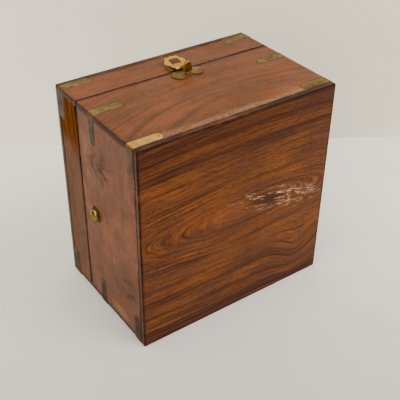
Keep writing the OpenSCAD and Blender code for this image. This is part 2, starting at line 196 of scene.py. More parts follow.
def board(name, outline, y0, y1, rounds, material, body, stands_for, seed,
          ragged=(0.0, 0.0), fade=1.5):
    """A board whose outline(inset) in X and Z is carried along Y. At each end the outline is drawn
    in by r(1 - cos a) while Y moves by r(1 - sin a), which rounds the edge, and two more rings lie
    on the flat end. wobble moves the faces by BOARD_SWAY, and eats into each
    end by up to its ragged. The edge attribute is 1 at the arrises and falls to 0 over fade."""
    turn = np.radians(np.array([90, 90, 90, 66, 44, 22, 0]))
    flat = np.array([fade, fade / 3, 0, 0, 0, 0, 0])
    inset0, inset1 = (r * (1 - np.cos(turn)) + flat for r in rounds)
    ys0 = y0 + rounds[0] * (1 - np.sin(turn))
    ys1 = y1 - rounds[1] * (1 - np.sin(turn))
    middle = np.linspace(ys0[-1], ys1[-1], max(3, round((y1 - y0) / 2.5)))[1:-1]
    ys = np.concatenate([ys0, middle, ys1[::-1]])
    insets = np.concatenate([inset0, 0 * middle, inset1[::-1]])
    base = outline(0.0)
    normal = (base - offset(base, 0.01)) / 0.01
    profile = np.stack([outline(inset) for inset in insets])
    rings = np.stack([profile[..., 0], np.broadcast_to(ys[:, None], profile.shape[:2]), profile[..., 1]], -1)
    push = BOARD_SWAY * (wobble(rings, 45, seed) - 1) * (insets <= 0)[:, None]
    rings[..., 0] += push * normal[:, 0]
    rings[..., 2] += push * normal[:, 1]
    chips = 0.5 + 0.3 * wobble(rings, 22, seed + 1) + 0.2 * wobble(rings, 5, seed + 2)
    rings[..., 1] += ragged[0] * chips * np.clip(1 - (ys - y0) / RAGGED_DEPTH, 0, 1)[:, None]
    rings[..., 1] -= ragged[1] * chips * np.clip(1 - (y1 - ys) / RAGGED_DEPTH, 0, 1)[:, None]
    edge = np.clip(1 - np.minimum(ys - y0, y1 - ys) / fade, 0, 1)[:, None] * np.ones(len(base))
    edge[[0, -1]] = 0
    edge[[1, -2]] = 0.5
    return piece(name, [closed(rings)], material, body, stands_for, edge=edge)


def lathe(profile, origin, axis, count=40):
    """Solid of revolution: profile points (N, 2) give the radius and the height along the axis from
    the origin. The ends lie on the axis."""
    axis = Vector(axis).normalized()
    side = axis.orthogonal().normalized()
    other = axis.cross(side)
    turn = np.linspace(0, 2 * np.pi, count, endpoint=False)
    spin = np.cos(turn)[:, None] * np.array(side) + np.sin(turn)[:, None] * np.array(other)
    profile = np.array(profile, float)
    rings = profile[:, None, :1] * spin[None] + profile[:, None, 1:] * np.array(axis) + np.array(origin)
    return closed(rings)


def eased_disc(radius, low, high, ease):
    """Lathe profile of a disc or rod with rounded edges, five points to each."""
    turn = np.linspace(0, np.pi / 2, 5)
    lower = np.stack([radius - ease + ease * np.sin(turn), low + ease * (1 - np.cos(turn))], -1)
    upper = np.stack([radius - ease + ease * np.cos(turn), high - ease * (1 - np.sin(turn))], -1)
    return np.concatenate([[(0, low)], lower, upper, [(0, high)]])


def ray_outline(centre, circles, boxes, count):
    """Outline of a union of circles (x, y, r) and boxes (x0, y0, x1, y1): along each ray from the
    centre, the farthest point at which it leaves one of them."""
    turn = np.linspace(0, 2 * np.pi, count, endpoint=False)
    ray = np.stack([np.cos(turn), np.sin(turn)], -1)
    centre = np.array(centre, float)
    reach = np.zeros(count)
    for x, y, r in circles:
        to = np.array([x, y]) - centre
        miss = r * r - (ray[:, 0] * to[1] - ray[:, 1] * to[0]) ** 2
        reach = np.maximum(reach, np.where(miss > 0, ray @ to + np.sqrt(np.maximum(miss, 0)), 0))
    for box in boxes:
        low, high = np.array(box[:2]) - centre, np.array(box[2:]) - centre
        with np.errstate(divide="ignore"):
            wall = np.where(ray > 0, high / ray, np.where(ray < 0, low / ray, np.inf))
        reach = np.maximum(reach, wall.min(1))
    return centre + ray * reach[:, None]


def plate(outline, low, high, ease, place, hole=None, bow=None):
    """Flat plate from an outline (P, 2), with rounded edges and, if given, a hole of as many points.
    place turns (x, y, height) into the part's frame. bow adds height as a function of x and y."""
    turn = np.linspace(0, np.pi / 2, 4)
    side = [(ease * (1 - np.sin(a)), low + ease * (1 - np.cos(a))) for a in turn]
    side += [(ease * (1 - np.cos(a)), high - ease * (1 - np.sin(a))) for a in turn]
    rings = [(offset(outline, inset), height) for inset, height in side]
    if hole is not None:
        rings += [(offset(hole, -inset), height) for inset, height in side[::-1]]
    flat = np.stack([np.concatenate([ring, np.full((len(ring), 1), h)], 1) for ring, h in rings])
    if bow is not None:
        flat[..., 2] += bow(flat[..., 0], flat[..., 1])
    points, faces = closed(flat, loop=hole is not None)
    turned = points @ np.array(place.to_3x3()).T + np.array(place.translation)
    return turned, faces


# ---------------------------------------------------------------- materials

TO_MM = (1 / MM, 1 / MM, 1 / MM)


def srgb(code):
    """An sRGB hex colour as linear RGBA."""
    parts = [int(code[i:i + 2], 16) / 255 for i in (1, 3, 5)]
    return [c / 12.92 if c <= 0.04045 else ((c + 0.055) / 1.055) ** 2.4 for c in parts] + [1]


def add(tree, kind, inputs=None, **settings):
    """Adds a node, sets its properties, and links or sets its inputs by name or number. A node given
    as an input is linked from the first output that its settings leave switched on."""
    node = tree.nodes.new(kind)
    for key, value in settings.items():
        setattr(node, key, value)
    for key, value in (inputs or {}).items():
        if isinstance(value, bpy.types.Node):
            value = next(socket for socket in value.outputs if socket.enabled)
        if isinstance(value, bpy.types.NodeSocket):
            tree.links.new(value, node.inputs[key])
        else:
            node.inputs[key].default_value = value
    return node


def new_material(name):
    """An empty node material with its tree and output."""
    material = bpy.data.materials.new(name)
    material.use_nodes = True
    tree = material.node_tree
    tree.nodes.clear()
    return material, tree, add(tree, "ShaderNodeOutputMaterial")


def patches(tree, place, size, shift=(0, 0, 0), detail=3.0, rough=0.5):
    """Uneven patches around 0.5, whose length along each axis is size, in the unit of place."""
    place = add(tree, "ShaderNodeMapping", {0: place, 1: shift, 3: [1 / length for length in size]})
    return add(tree, "ShaderNodeTexNoise",
               {"Vector": place, "Scale": 1.0, "Detail": detail, "Roughness": rough})


def from_middle(tree, place, middle, half):
    """Distance from the middle of an oval, 1 at its edge: the length of (place - middle) / half. An
    axis whose half length is 0 is left out."""
    shift = [-at / reach if reach else 0 for at, reach in zip(middle, half)]
    scale = [1 / reach if reach else 0 for reach in half]
    place = add(tree, "ShaderNodeMapping", {0: place, 1: shift, 3: scale})
    return add(tree, "ShaderNodeVectorMath", {0: place}, operation="LENGTH")


def swing(tree, pattern, size):
    """A pattern around 0.5 turned into one around 0: (pattern - 0.5) times size."""
    level = add(tree, "ShaderNodeMath", {0: pattern, 1: 0.5}, operation="SUBTRACT")
    return add(tree, "ShaderNodeMath", {0: level, 1: size}, operation="MULTIPLY")


def tinted(tree, colour, pattern, low, high, code, least=0.0, most=1.0):
    """A colour turned towards an sRGB one, by least where the pattern is at low and by most where it
    is at high, in a straight line between them."""
    share = add(tree, "ShaderNodeMapRange", {0: pattern, 1: low, 2: high, 3: least, 4: most})
    return add(tree, "ShaderNodeMix", {0: share, 6: colour, 7: srgb(code)}, data_type="RGBA")


def rosewood(name, order, eye, stretch, bands, tones, painted_sheen, warp=7.0, gloss=0.33, shine=0.08, contrast=1.0,
             scuffs=False, patch=None, knot=None, lapped=False, seed=0.0):
    """Sheesham under old shellac. order names which axes run along the grain, across it and into
    the board. Growth lines are levels of the distance from an oval eye, stretch times as long as it
    is high; bands says how readily they turn dark at each distance in mm. tones are the light, warm
    and dark wood. A knot at (along, across) draws the lines down around it."""
    material, tree, out = new_material(name)
    place = add(tree, "ShaderNodeTexCoord").outputs["Object"]
    mm = add(tree, "ShaderNodeMapping", {0: place, 3: TO_MM})
    parts = add(tree, "ShaderNodeSeparateXYZ", {0: mm}).outputs
    turned = add(tree, "ShaderNodeCombineXYZ", {i: parts[axis] for i, axis in enumerate(order)})
    grain = add(tree, "ShaderNodeMapping", {0: turned, 1: (seed, 0, seed)})
    u, v, w = add(tree, "ShaderNodeSeparateXYZ", {0: turned}).outputs
    # slow and quick drift of the grain across the board
    slow = swing(tree, patches(tree, grain, (70, 28, 60), detail=2.0), warp)
    quick = swing(tree, patches(tree, grain, (22, 9, 20), (9, 3, 1), 2.0), 0.35 * warp)
    drift = add(tree, "ShaderNodeMath", {0: slow, 1: quick}, operation="ADD")
    across = add(tree, "ShaderNodeMath", {0: v, 1: eye[1]}, operation="SUBTRACT")
    across = add(tree, "ShaderNodeMath", {0: across, 1: drift}, operation="ADD")
    if knot is not None:
        # the lines sink by 11 mm times exp(-r squared)
        reach = from_middle(tree, turned, (*knot, 0), (17, 20, 0))
        square = add(tree, "ShaderNodeMath", {0: reach, 1: reach}, operation="MULTIPLY")
        square = add(tree, "ShaderNodeMath", {0: square, 1: -1.0}, operation="MULTIPLY")
        pull = add(tree, "ShaderNodeMath", {0: square}, operation="EXPONENT")
        pull = add(tree, "ShaderNodeMath", {0: pull, 1: 11.0}, operation="MULTIPLY")
        across = add(tree, "ShaderNodeMath", {0: across, 1: pull}, operation="ADD")
    along = add(tree, "ShaderNodeMath", {0: u, 1: eye[0]}, operation="SUBTRACT")
    along = add(tree, "ShaderNodeMath", {0: along, 1: stretch}, operation="DIVIDE")
    oval = add(tree, "ShaderNodeCombineXYZ", {0: along, 1: across})
    ring = add(tree, "ShaderNodeVectorMath", {0: oval}, operation="LENGTH")
    # how readily the lines turn dark, read from the bands by the distance from the eye
    span = bands[-1][0]
    share = add(tree, "ShaderNodeMath", {0: ring, 1: span}, operation="DIVIDE")
    readiness = add(tree, "ShaderNodeValToRGB", {0: share})
    stops = readiness.color_ramp.elements
    while len(stops) < len(bands):
        stops.new(0.5)
    for stop, (distance, value) in zip(stops, bands):
        stop.position = distance / span
        stop.color = (value, value, value, 1)
    # growth lines of uneven width, about 1 to 3 mm apart
    line_across = add(tree, "ShaderNodeMath", {0: ring, 1: 1.25}, operation="DIVIDE")
    line_along = add(tree, "ShaderNodeMath", {0: u, 1: 85.0}, operation="DIVIDE")
    lines_at = add(tree, "ShaderNodeCombineXYZ", {0: line_across, 1: line_along, 2: seed})
    lines = add(tree, "ShaderNodeTexNoise",
                {"Vector": lines_at, "Scale": 1.0, "Detail": 3.0, "Roughness": 0.68})
    dark = add(tree, "ShaderNodeMath", {0: lines, 1: readiness}, operation="ADD")
    dark = add(tree, "ShaderNodeMapRange", {0: dark, 1: 0.70, 2: 1.0, 4: contrast})
    cloud = patches(tree, grain, (42, 11, 30), (4, 4, 4))
    # thin dark streaks about a millimetre apart
    streak_across = add(tree, "ShaderNodeMath", {0: ring, 1: 0.8}, operation="DIVIDE")
    streak_along = add(tree, "ShaderNodeMath", {0: u, 1: 26.0}, operation="DIVIDE")
    streaks_at = add(tree, "ShaderNodeCombineXYZ", {0: streak_across, 1: streak_along, 2: seed + 4.0})
    streaks = add(tree, "ShaderNodeTexNoise",
                  {"Vector": streaks_at, "Scale": 1.0, "Detail": 2.0, "Roughness": 0.6})
    lift = add(tree, "ShaderNodeMath", {0: lines, 1: 0.8}, operation="MULTIPLY")
    lift = add(tree, "ShaderNodeMath", {0: lift, 1: 0.4}, operation="SUBTRACT")
    warm = add(tree, "ShaderNodeMath", {0: cloud, 1: lift}, operation="ADD")
    colour = tinted(tree, srgb(tones[0]), warm, 0.34, 0.64, tones[1])
    colour = add(tree, "ShaderNodeMix", {0: dark, 6: colour, 7: srgb(tones[2])}, data_type="RGBA")
    colour = tinted(tree, colour, streaks, 0.50, 0.74, tones[2], most=0.55 * contrast)
    # pores: dashes 3 to 6 mm long and a third of a millimetre wide
    pore_along = add(tree, "ShaderNodeMath", {0: u, 1: 3.5}, operation="DIVIDE")
    pore_across = add(tree, "ShaderNodeMath", {0: ring, 1: 0.5}, operation="DIVIDE")
    pore_into = add(tree, "ShaderNodeMath", {0: w, 1: 0.5}, operation="DIVIDE")
    pores_at = add(tree, "ShaderNodeCombineXYZ", {0: pore_along, 1: pore_across, 2: pore_into})
    pores = add(tree, "ShaderNodeTexNoise",
                {"Vector": pores_at, "Scale": 1.0, "Detail": 1.0, "Roughness": 0.5})
    pores = add(tree, "ShaderNodeMapRange", {0: pores, 1: 0.48, 2: 0.66})
    open_pores = add(tree, "ShaderNodeMath", {0: pores, 1: 0.5}, operation="MULTIPLY")
    colour = add(tree, "ShaderNodeMix", {0: open_pores, 6: colour, 7: srgb(tones[2])}, data_type="RGBA")
    # painted sheen: the pale room reflected in the old finish, mixed into the colour as a milky haze in patches
    painted_sheen_patches = patches(tree, mm, (25, 25, 25), (2, 7, 2), 4.0, 0.6)
    painted_sheen_patches = add(tree, "ShaderNodeMapRange", {0: painted_sheen_patches, 1: 0.35, 2: 0.7, 3: 0.3, 4: 1.6})
    painted_sheen_patches = add(tree, "ShaderNodeMath", {0: painted_sheen_patches, 1: painted_sheen[1]}, operation="MULTIPLY")
    colour = add(tree, "ShaderNodeMix", {0: painted_sheen_patches, 6: colour, 7: srgb(painted_sheen[0])}, data_type="RGBA")
    if patch is not None:
        colour = patch(tree, colour, mm)
    if lapped:
        lap, end = lap_mask(tree), end_grain(tree, mm)
        colour = add(tree, "ShaderNodeMix", {0: lap, 6: colour, 7: end}, data_type="RGBA")
    # old wax and hand grime on the arrises
    edge = add(tree, "ShaderNodeAttribute", attribute_name="edge").outputs["Fac"]
    edge = add(tree, "ShaderNodeMath", {0: edge, 1: 0.2}, operation="SUBTRACT")
    blotch = patches(tree, mm, (7, 7, 7), detail=4.0, rough=0.65)
    blotch = add(tree, "ShaderNodeMapRange", {0: blotch, 1: 0.3, 2: 0.6, 3: 0.5, 4: 1.4})
    grime = add(tree, "ShaderNodeMath", {0: edge, 1: blotch}, operation="MULTIPLY")
    grime = add(tree, "ShaderNodeMath", {0: grime, 1: 0.9}, operation="MULTIPLY", use_clamp=True)
    colour = add(tree, "ShaderNodeMix", {0: grime, 6: colour, 7: srgb("#120703")}, data_type="RGBA")
    wear = patches(tree, mm, (12, 12, 12), detail=4.0, rough=0.6)
    rough = add(tree, "ShaderNodeMapRange", {0: wear, 1: 0.3, 2: 0.7, 3: gloss - 0.07, 4: gloss + 0.12})
    if scuffs:
        colour, rough = scuffed(tree, colour, rough, mm)
    # in the shading only, the grain stands out by hundredths of a millimetre, and the board swells by half of one
    raised = add(tree, "ShaderNodeMath", {0: lines, 1: 0.3}, operation="MULTIPLY")
    relief = add(tree, "ShaderNodeMath", {0: raised, 1: pores}, operation="SUBTRACT")
    bump = add(tree, "ShaderNodeBump", {"Height": relief, "Strength": 0.35, "Distance": 0.00006})
    swell = patches(tree, mm, (30, 30, 30), detail=2.0)
    bump = add(tree, "ShaderNodeBump", {"Height": swell, "Strength": 0.5, "Distance": 0.0012, "Normal": bump})
    shader = add(tree, "ShaderNodeBsdfPrincipled", {"Base Color": colour, "Roughness": rough, "IOR": 1.5,
                                                     "Specular IOR Level": shine, "Normal": bump})
    tree.links.new(shader.outputs[0], out.inputs[0])
    return material


def panel_marks(tree, colour, mm):
    """The big boards' own marks: darker heartwood along both long edges, and a pale pinkish eye."""
    height = add(tree, "ShaderNodeSeparateXYZ", {0: mm}).outputs[2]
    colour = tinted(tree, colour, height, 50.0, 15.0, "#2f120a", most=0.2)
    eye = from_middle(tree, mm, (-10.8, 0, 83), (24, 0, 9))
    colour = tinted(tree, colour, eye, 1.0, 0.2, "#83452a", most=0.25)
    return tinted(tree, colour, height, 122.0, 146.0, "#2c1006", most=0.45)


def scuffed(tree, colour, rough, mm):
    """Pale scrapes through the finish, right of the middle of the big board: thin curving strokes
    along the grain inside a long soft oval that slopes a little, where a field of noise crosses its
    middle value, with rubbed patches between them and a darker bruise under them."""
    centre = add(tree, "ShaderNodeMapping", {0: mm, 1: (-35, 0, -80.5)})
    turned = add(tree, "ShaderNodeMapping", {0: centre, 2: (0, -0.22, 0)})
    oval = from_middle(tree, turned, (0, 0, 0), (48, 0, 10))
    bruise = from_middle(tree, turned, (-11.55, 0, -0.7), (21, 0, 7))
    # only on the outside of the base's board
    depth = add(tree, "ShaderNodeSeparateXYZ", {0: mm}).outputs[1]
    outside = add(tree, "ShaderNodeMapRange", {0: depth, 1: -48.6, 2: -49.2})
    inside = add(tree, "ShaderNodeMapRange", {0: oval, 1: 1.0, 2: 0.4})
    inside = add(tree, "ShaderNodeMath", {0: inside, 1: outside}, operation="MULTIPLY")
    field = patches(tree, turned, (20, 9, 3), (3, 0, 5), rough=0.55)
    broken = patches(tree, turned, (9, 9, 2.5), (7, 0, 1), rough=0.6)
    stroke = add(tree, "ShaderNodeMath", {0: field, 1: 0.5}, operation="SUBTRACT")
    stroke = add(tree, "ShaderNodeMath", {0: stroke}, operation="ABSOLUTE")
    stroke = add(tree, "ShaderNodeMapRange", {0: stroke, 1: 0.034, 2: 0.010})
    gaps = add(tree, "ShaderNodeMapRange", {0: broken, 1: 0.41, 2: 0.51})
    thin = add(tree, "ShaderNodeMath", {0: stroke, 1: gaps}, operation="MULTIPLY")
    spread = add(tree, "ShaderNodeMapRange", {0: field, 1: 0.58, 2: 0.70})
    gaps = add(tree, "ShaderNodeMapRange", {0: broken, 1: 0.46, 2: 0.58, 4: 0.7})
    rubbed = add(tree, "ShaderNodeMath", {0: spread, 1: gaps}, operation="MULTIPLY")
    marks = add(tree, "ShaderNodeMath", {0: thin, 1: rubbed}, operation="MAXIMUM")
    marks = add(tree, "ShaderNodeMath", {0: marks, 1: inside}, operation="MULTIPLY", use_clamp=True)
    dull = add(tree, "ShaderNodeMapRange", {0: bruise, 1: 1.1, 2: 0.4, 4: 0.7})
    dull = add(tree, "ShaderNodeMath", {0: dull, 1: outside}, operation="MULTIPLY")
    colour = add(tree, "ShaderNodeMix", {0: dull, 6: colour, 7: srgb("#2a130b")}, data_type="RGBA")
    pale = add(tree, "ShaderNodeMath", {0: marks, 1: 0.95}, operation="MULTIPLY")
    colour = add(tree, "ShaderNodeMix", {0: pale, 6: colour, 7: srgb("#bb957c")}, data_type="RGBA")
    duller = add(tree, "ShaderNodeMath", {0: marks, 1: 0.3}, operation="MULTIPLY")
    return colour, add(tree, "ShaderNodeMath", {0: rough, 1: duller}, operation="ADD")


def smudges_and_low_darkening(tree, colour, mm):
    """Old hand marks on the side walls: cloudy grey-brown patches on both, and on the left one a nest
    of dark smears above the stud, a smaller one low down near the big board, and pale chips at the
    hinge end. Both walls also turn darker towards the bottom."""
    cloud = patches(tree, mm, (14, 14, 18), (8, 2, 1), 4.0, 0.6)
    colour = tinted(tree, colour, cloud, 0.40, 0.60, "#4a3020", most=0.6)
    height = add(tree, "ShaderNodeSeparateXYZ", {0: mm}).outputs[2]
    # the walls turn darker towards the bottom
    colour = tinted(tree, colour, height, 80.0, 25.0, "#48301f", most=0.35)
    smear = patches(tree, mm, (5, 5, 4), (1, 6, 2), rough=0.6)
    for y, z, half_y, half_z, low, high, most, code in ((-4, 119, 20, 17, 0.44, 0.60, 0.75, "#23150e"),
                                                        (-33, 38, 13, 15, 0.46, 0.58, 0.7, "#2a1913"),
                                                        (-20, 10, 14, 5.5, 0.38, 0.50, 0.6, "#86623f")):
        reach = from_middle(tree, mm, (-HALF_W, y, z), (40, half_y, half_z))
        near = add(tree, "ShaderNodeMapRange", {0: reach, 1: 1.0, 2: 0.5})
        thick = add(tree, "ShaderNodeMapRange", {0: smear, 1: low, 2: high, 4: most})
        marks = add(tree, "ShaderNodeMath", {0: near, 1: thick}, operation="MULTIPLY")
        colour = add(tree, "ShaderNodeMix", {0: marks, 6: colour, 7: srgb(code)}, data_type="RGBA")
    return colour


def worn_edge(tree, colour, mm):
    """The top's finish rubbed pale and speckled along the joint with the base's big board."""
    wander = patches(tree, mm, (16, 4, 16), (3, 1, 3), rough=0.6)
    wander = add(tree, "ShaderNodeMath", {0: wander, 1: 9.0}, operation="MULTIPLY")
    depth = add(tree, "ShaderNodeSeparateXYZ", {0: mm}).outputs[1]
    level = add(tree, "ShaderNodeMath", {0: depth, 1: wander}, operation="ADD")
    level = add(tree, "ShaderNodeMapRange", {0: level, 1: -35.5, 2: -40.0})
    speckle = patches(tree, mm, (2.6, 1.1, 1.1), rough=0.65)
    speckle = add(tree, "ShaderNodeMapRange", {0: speckle, 1: 0.44, 2: 0.60, 3: 0.1, 4: 0.75})
    worn = add(tree, "ShaderNodeMath", {0: level, 1: speckle}, operation="MULTIPLY")
    return add(tree, "ShaderNodeMix", {0: worn, 6: colour, 7: srgb("#86634a")}, data_type="RGBA")


def sapwood_patch(tree, colour, mm):
    """Orange sapwood at the hasp end of the lid's side walls, fading unevenly down the grain."""
    height = add(tree, "ShaderNodeSeparateXYZ", {0: mm}).outputs[2]
    wander = patches(tree, mm, (10, 10, 24))
    wander = add(tree, "ShaderNodeMath", {0: wander, 1: 26.0}, operation="MULTIPLY")
    level = add(tree, "ShaderNodeMath", {0: height, 1: wander}, operation="ADD")
    level = add(tree, "ShaderNodeMapRange", {0: level, 1: 122.0, 2: 136.0})
    mask = add(tree, "ShaderNodeMath", {0: level, 1: 0.9}, operation="MULTIPLY")
    fibres = patches(tree, mm, (2.5, 2.5, 22), (4, 4, 4), rough=0.6)
    sap = tinted(tree, srgb("#653804"), fibres, 0.38, 0.66, "#3c1a03")
    return add(tree, "ShaderNodeMix", {0: mask, 6: colour, 7: sap}, data_type="RGBA")


def lap_mask(tree):
    """1 on faces that look along X, where the lapped boards show their end grain."""
    normal = add(tree, "ShaderNodeTexCoord").outputs["Normal"]
    across = add(tree, "ShaderNodeSeparateXYZ", {0: normal}).outputs[0]
    across = add(tree, "ShaderNodeMath", {0: across}, operation="ABSOLUTE")
    return add(tree, "ShaderNodeMapRange", {0: across, 1: 0.6, 2: 0.85})


def end_grain(tree, mm):
    """Colour of end grain: dark red, with the rings cut across as fine stripes and open pores."""
    rings = patches(tree, mm, (20, 5, 0.8))
    dots = patches(tree, mm, (0.6, 0.6, 0.6), detail=2.0)
    colour = tinted(tree, srgb("#1a0705"), rings, 0.35, 0.65, "#33110a")
    dots = add(tree, "ShaderNodeMapRange", {0: dots, 1: 0.55, 2: 0.7})
    dots = add(tree, "ShaderNodeMath", {0: dots, 1: 0.5}, operation="MULTIPLY")
    return add(tree, "ShaderNodeMix", {0: dots, 6: colour, 7: srgb("#130503")}, data_type="RGBA")


def sheet_brass(name, clean, tarnish, cover, rough, side=0.0):
    """Rolled sheet brass: clean metal where it is rubbed, brown tarnish over cover of it, and fine
    scratches that scatter the highlight. On the left and right faces the colour turns towards a dark
    brown by side, as painted shade."""
    material, tree, out = new_material(name)
    coords = add(tree, "ShaderNodeTexCoord").outputs
    mm = add(tree, "ShaderNodeMapping", {0: coords["Object"], 3: TO_MM})
    blotch = patches(tree, mm, (7, 7, 7), rough=0.55)
    spots = swing(tree, patches(tree, mm, (0.9, 0.9, 0.9), (5, 5, 5)), 0.25)
    brown = add(tree, "ShaderNodeMath", {0: blotch, 1: spots}, operation="ADD")
    brown = add(tree, "ShaderNodeMapRange", {0: brown, 1: 0.45 - 0.2 * cover, 2: 0.8 - 0.2 * cover})
    colour = add(tree, "ShaderNodeMix", {0: brown, 6: srgb(clean), 7: srgb(tarnish)}, data_type="RGBA")
    # painted shade: faces that look along X turn towards a dark brown by side
    facing = add(tree, "ShaderNodeSeparateXYZ", {0: coords["Normal"]}).outputs[0]
    facing = add(tree, "ShaderNodeMath", {0: facing}, operation="ABSOLUTE")
    painted_side_shade = add(tree, "ShaderNodeMath", {0: facing, 1: side}, operation="MULTIPLY")
    colour = add(tree, "ShaderNodeMix", {0: painted_side_shade, 6: colour, 7: srgb("#3a2408")}, data_type="RGBA")
    scratch = patches(tree, mm, (6, 0.25, 0.25), detail=2.0)
    scatter = swing(tree, scratch, 0.12)
    dull = add(tree, "ShaderNodeMapRange", {0: brown, 3: rough, 4: rough + 0.2})
    roughness = add(tree, "ShaderNodeMath", {0: dull, 1: scatter}, operation="ADD")
    scored = add(tree, "ShaderNodeMath", {0: scratch, 1: 0.2}, operation="MULTIPLY")
    relief = add(tree, "ShaderNodeMath", {0: blotch, 1: scored}, operation="ADD")
    bump = add(tree, "ShaderNodeBump", {"Height": relief, "Strength": 0.3, "Distance": 0.00018})
    shader = add(tree, "ShaderNodeBsdfPrincipled", {"Base Color": colour, "Metallic": 1.0,
                                                     "Roughness": roughness, "Normal": bump})
    tree.links.new(shader.outputs[0], out.inputs[0])
    return material


def packed_wax_and_painted_shadow(name):
    """Old wax and dirt packed in the lines around the inlay, and painted shadow along the straps'
    edges: near black, dull, in lumps of 1.1 mm.
    """
    material, tree, out = new_material(name)
    place = add(tree, "ShaderNodeTexCoord").outputs["Object"]
    lump = MM / 0.9
    colour = tinted(tree, srgb("#140b07"), patches(tree, place, (lump, lump, lump)), 0.35, 0.65, "#2b1a12")
    shader = add(tree, "ShaderNodeBsdfPrincipled", {"Base Color": colour, "Roughness": 0.6, "IOR": 1.45})
    tree.links.new(shader.outputs[0], out.inputs[0])
    return material


# how readily growth lines turn dark, by their distance from the eye in mm
BIG_BANDS = [(0, 0.24), (6, 0.18), (10, 0.27), (16, 0.20), (22, 0.26), (32, 0.21), (42, 0.25), (46, 0.26),
             (49, 0.37), (51, 0.38), (53, 0.20), (57, 0.25), (59, 0.18), (61, 0.42), (63, 0.36), (65, 0.2),
             (68, 0.30), (70, 0.26), (73, 0.44), (90, 0.36)]
TOP_BANDS = [(0, 0.30), (8, 0.20), (12, 0.30), (15, 0.12), (24, 0.14), (27, 0.36), (30, 0.16), (34, 0.32),
             (36, 0.16), (39, 0.38), (42, 0.20), (48, 0.32), (52, 0.18), (60, 0.32), (66, 0.2), (75, 0.3),
             (85, 0.2), (110, 0.3)]
SIDE_BANDS = [(0, 0.14), (20, 0.22), (34, 0.12), (46, 0.25), (60, 0.15), (90, 0.2)]

# the pair after the tones is each wood's painted sheen: a pale colour and how much of it is mixed in
panel_wood = rosewood("sheesham_varnished_panel", (0, 2, 1), (14, 82), 5.6, BIG_BANDS,
                      ("#734118", "#59341d", "#2c0f05"), ("#c0a090", 0.0), warp=5, scuffs=True,
                      patch=panel_marks, knot=(54, 26))
top_wood = rosewood("sheesham_varnished_top", (0, 1, 2), (14, -52), 2.4, TOP_BANDS,
                    ("#603217", "#4b2b14", "#2e1407"), ("#c0a090", 0.02), warp=9, contrast=0.7,
                    patch=worn_edge, lapped=True)
side_wood = rosewood("sheesham_varnished_side", (2, 1, 0), (90, -60), 2.2, SIDE_BANDS,
                     ("#80472a", "#6b3f25", "#422212"), ("#8f7868", 0.06), warp=16, gloss=0.4,
                     contrast=0.6, patch=smudges_and_low_darkening)
lid_side_wood = rosewood("sheesham_varnished_lid_side", (2, 1, 0), (40, 60), 2.5, SIDE_BANDS,
                         ("#6f5040", "#5f4537", "#3f261b"), ("#8f7868", 0.07), warp=14, gloss=0.4, shine=0.0,
                         contrast=0.6, patch=sapwood_patch, seed=3.0)
# side puts painted shade on the faces that look along X
strap_brass = sheet_brass("tarnished_sheet_brass", "#7a6434", "#4a3a1c", 0.5, 0.42, side=0.85)
bright_brass = sheet_brass("rubbed_sheet_brass", "#c49b46", "#8a6a2c", 0.3, 0.3)
# a brighter copy of the same sheet brass, for one strap only
gold_strap = sheet_brass("brighter_sheet_brass", "#bb9850", "#8f7238", 0.35, 0.36, side=0.92)
stud_brass = sheet_brass("turned_brass", "#8f6e30", "#3f2c10", 0.6, 0.24)
wing_brass = sheet_brass("cast_brass", "#a27c33", "#5e431a", 0.45, 0.3)
wax_shadow_finish = packed_wax_and_painted_shadow("packed_wax_and_painted_shadow")


# ---------------------------------------------------------------- boards

panel_outline = rounded_box((-HALF_W, 0), (HALF_W, CASE_H), CORNER_R, 2.5)
board("base_panel_board", panel_outline, FRONT_Y, PANEL_HIGH[1], (0.7, 0.3), panel_wood, "base",
      ["base_panel"], seed=3, fade=2.4)
board("lid_panel_board", panel_outline, LID_LOW[1], BACK_Y, (0.3, 0.7), panel_wood, "lid", ["lid_panel"],
      seed=4, fade=2.4)
board("base_top_board", lapped_box(), PANEL_HIGH[1], BASE_RIM_Y, (0.2, 0.22), top_wood, "base",
      ["base_top_wall"], seed=5, ragged=(0.0, 0.3))
board("lid_top_board", lapped_box(), LID_RIM_Y, LID_LOW[1], (0.22, 0.2), top_wood, "lid", ["lid_top_wall"],
      seed=6, ragged=(0.3, 0.0))
for side, sign in (("left", -1), ("right", 1)):
    x0, x1 = sorted((sign * HALF_W, sign * (HALF_W - WALL_T)))
    wall_outline = rounded_box((x0, LAP_T), (x1, CASE_H - LAP_T), 0.25, 2.5)
    board(f"base_{side}_board", wall_outline, PANEL_HIGH[1], BASE_RIM_Y, (0.2, 0.5), side_wood, "base",
          [f"base_{side}_wall"], seed=7 + sign, ragged=(0.0, 0.6))
    board(f"lid_{side}_board", wall_outline, LID_RIM_Y, LID_LOW[1], (0.5, 0.2), lid_side_wood, "lid",
          [f"lid_{side}_wall"], seed=12 + sign, ragged=(0.6, 0.0))

# CAD nodes that stay in view or inside get the finish of their slot
FINISHES = {"strap_brass": strap_brass, "bright_brass": bright_brass,
            "wall_wood": top_wood, "panel_wood": panel_wood}
SLOTS = {part["node"]: part["material_slot"] for part in frame["record"]["subparts"]}
for name, node in frame["nodes"].items():
    node.data.materials.clear()
    node.data.materials.append(FINISHES[SLOTS[name]])


# ---------------------------------------------------------------- corner straps

STRAP_PROUD = 0.12
STRAP_EASE = 0.35
# how far a strap's solid goes into the wood, and the rows of points along it
STRAP_SUNK = 0.8
STRAP_ROWS = 110
# a pin stands this far from each tip; radius and rise of its head, and length of all pins and nails
PIN_FROM_TIP, PIN_R, PIN_RISE = 3.2, 0.72, 0.16
SHANK = 5
# the dark line of packed wax and painted shadow reaches this far past a strap, and stands this far out of the wood
WAX_SHADOW_SPREAD, WAX_SHADOW_PROUD, WAX_SHADOW_EASE = 0.4, 0.03, 0.05


